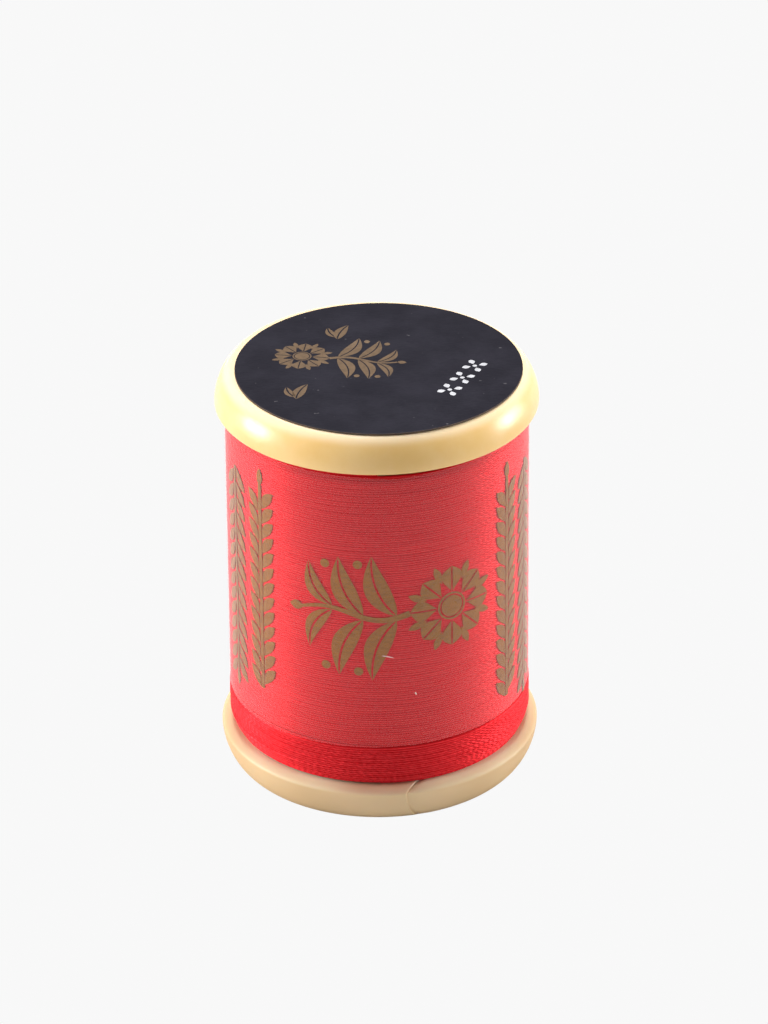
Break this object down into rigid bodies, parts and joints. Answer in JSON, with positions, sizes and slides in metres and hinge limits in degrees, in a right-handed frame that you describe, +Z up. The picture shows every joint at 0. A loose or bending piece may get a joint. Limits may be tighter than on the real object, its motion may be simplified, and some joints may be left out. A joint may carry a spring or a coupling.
{
  "type": "spool of sewing thread",
  "caption": "Full spool of red embroidery thread: flanged plastic core with a through bore, wound thread, clear printed wrap and round top label.",
  "frame": {"origin": "centre of the flat lower face that the spool stands on, on the spool's axis", "axes": "+Z up along the spool's axis, from the lower face to the label; -Y towards the side that carries the printed motif; the thread slit opens through the lower rim about 9 degrees from -Y towards +X"},
  "size_m": [0.029, 0.029, 0.0393],
  "materials": {
    "cream_plastic": "warm cream moulded plastic, satin gloss",
    "red_thread": "bright red embroidery thread with a silky sheen, wound in fine level turns",
    "clear_film": "clear glossy film with gold print",
    "label_paper": "dark blue-grey coated paper with gold and white print"
  },
  "bodies": {
    "root": {"spool_body": "cream_plastic", "thread_winding": "red_thread", "clear_wrap": "clear_film", "top_label": "label_paper"}
  },
  "joints": []
}
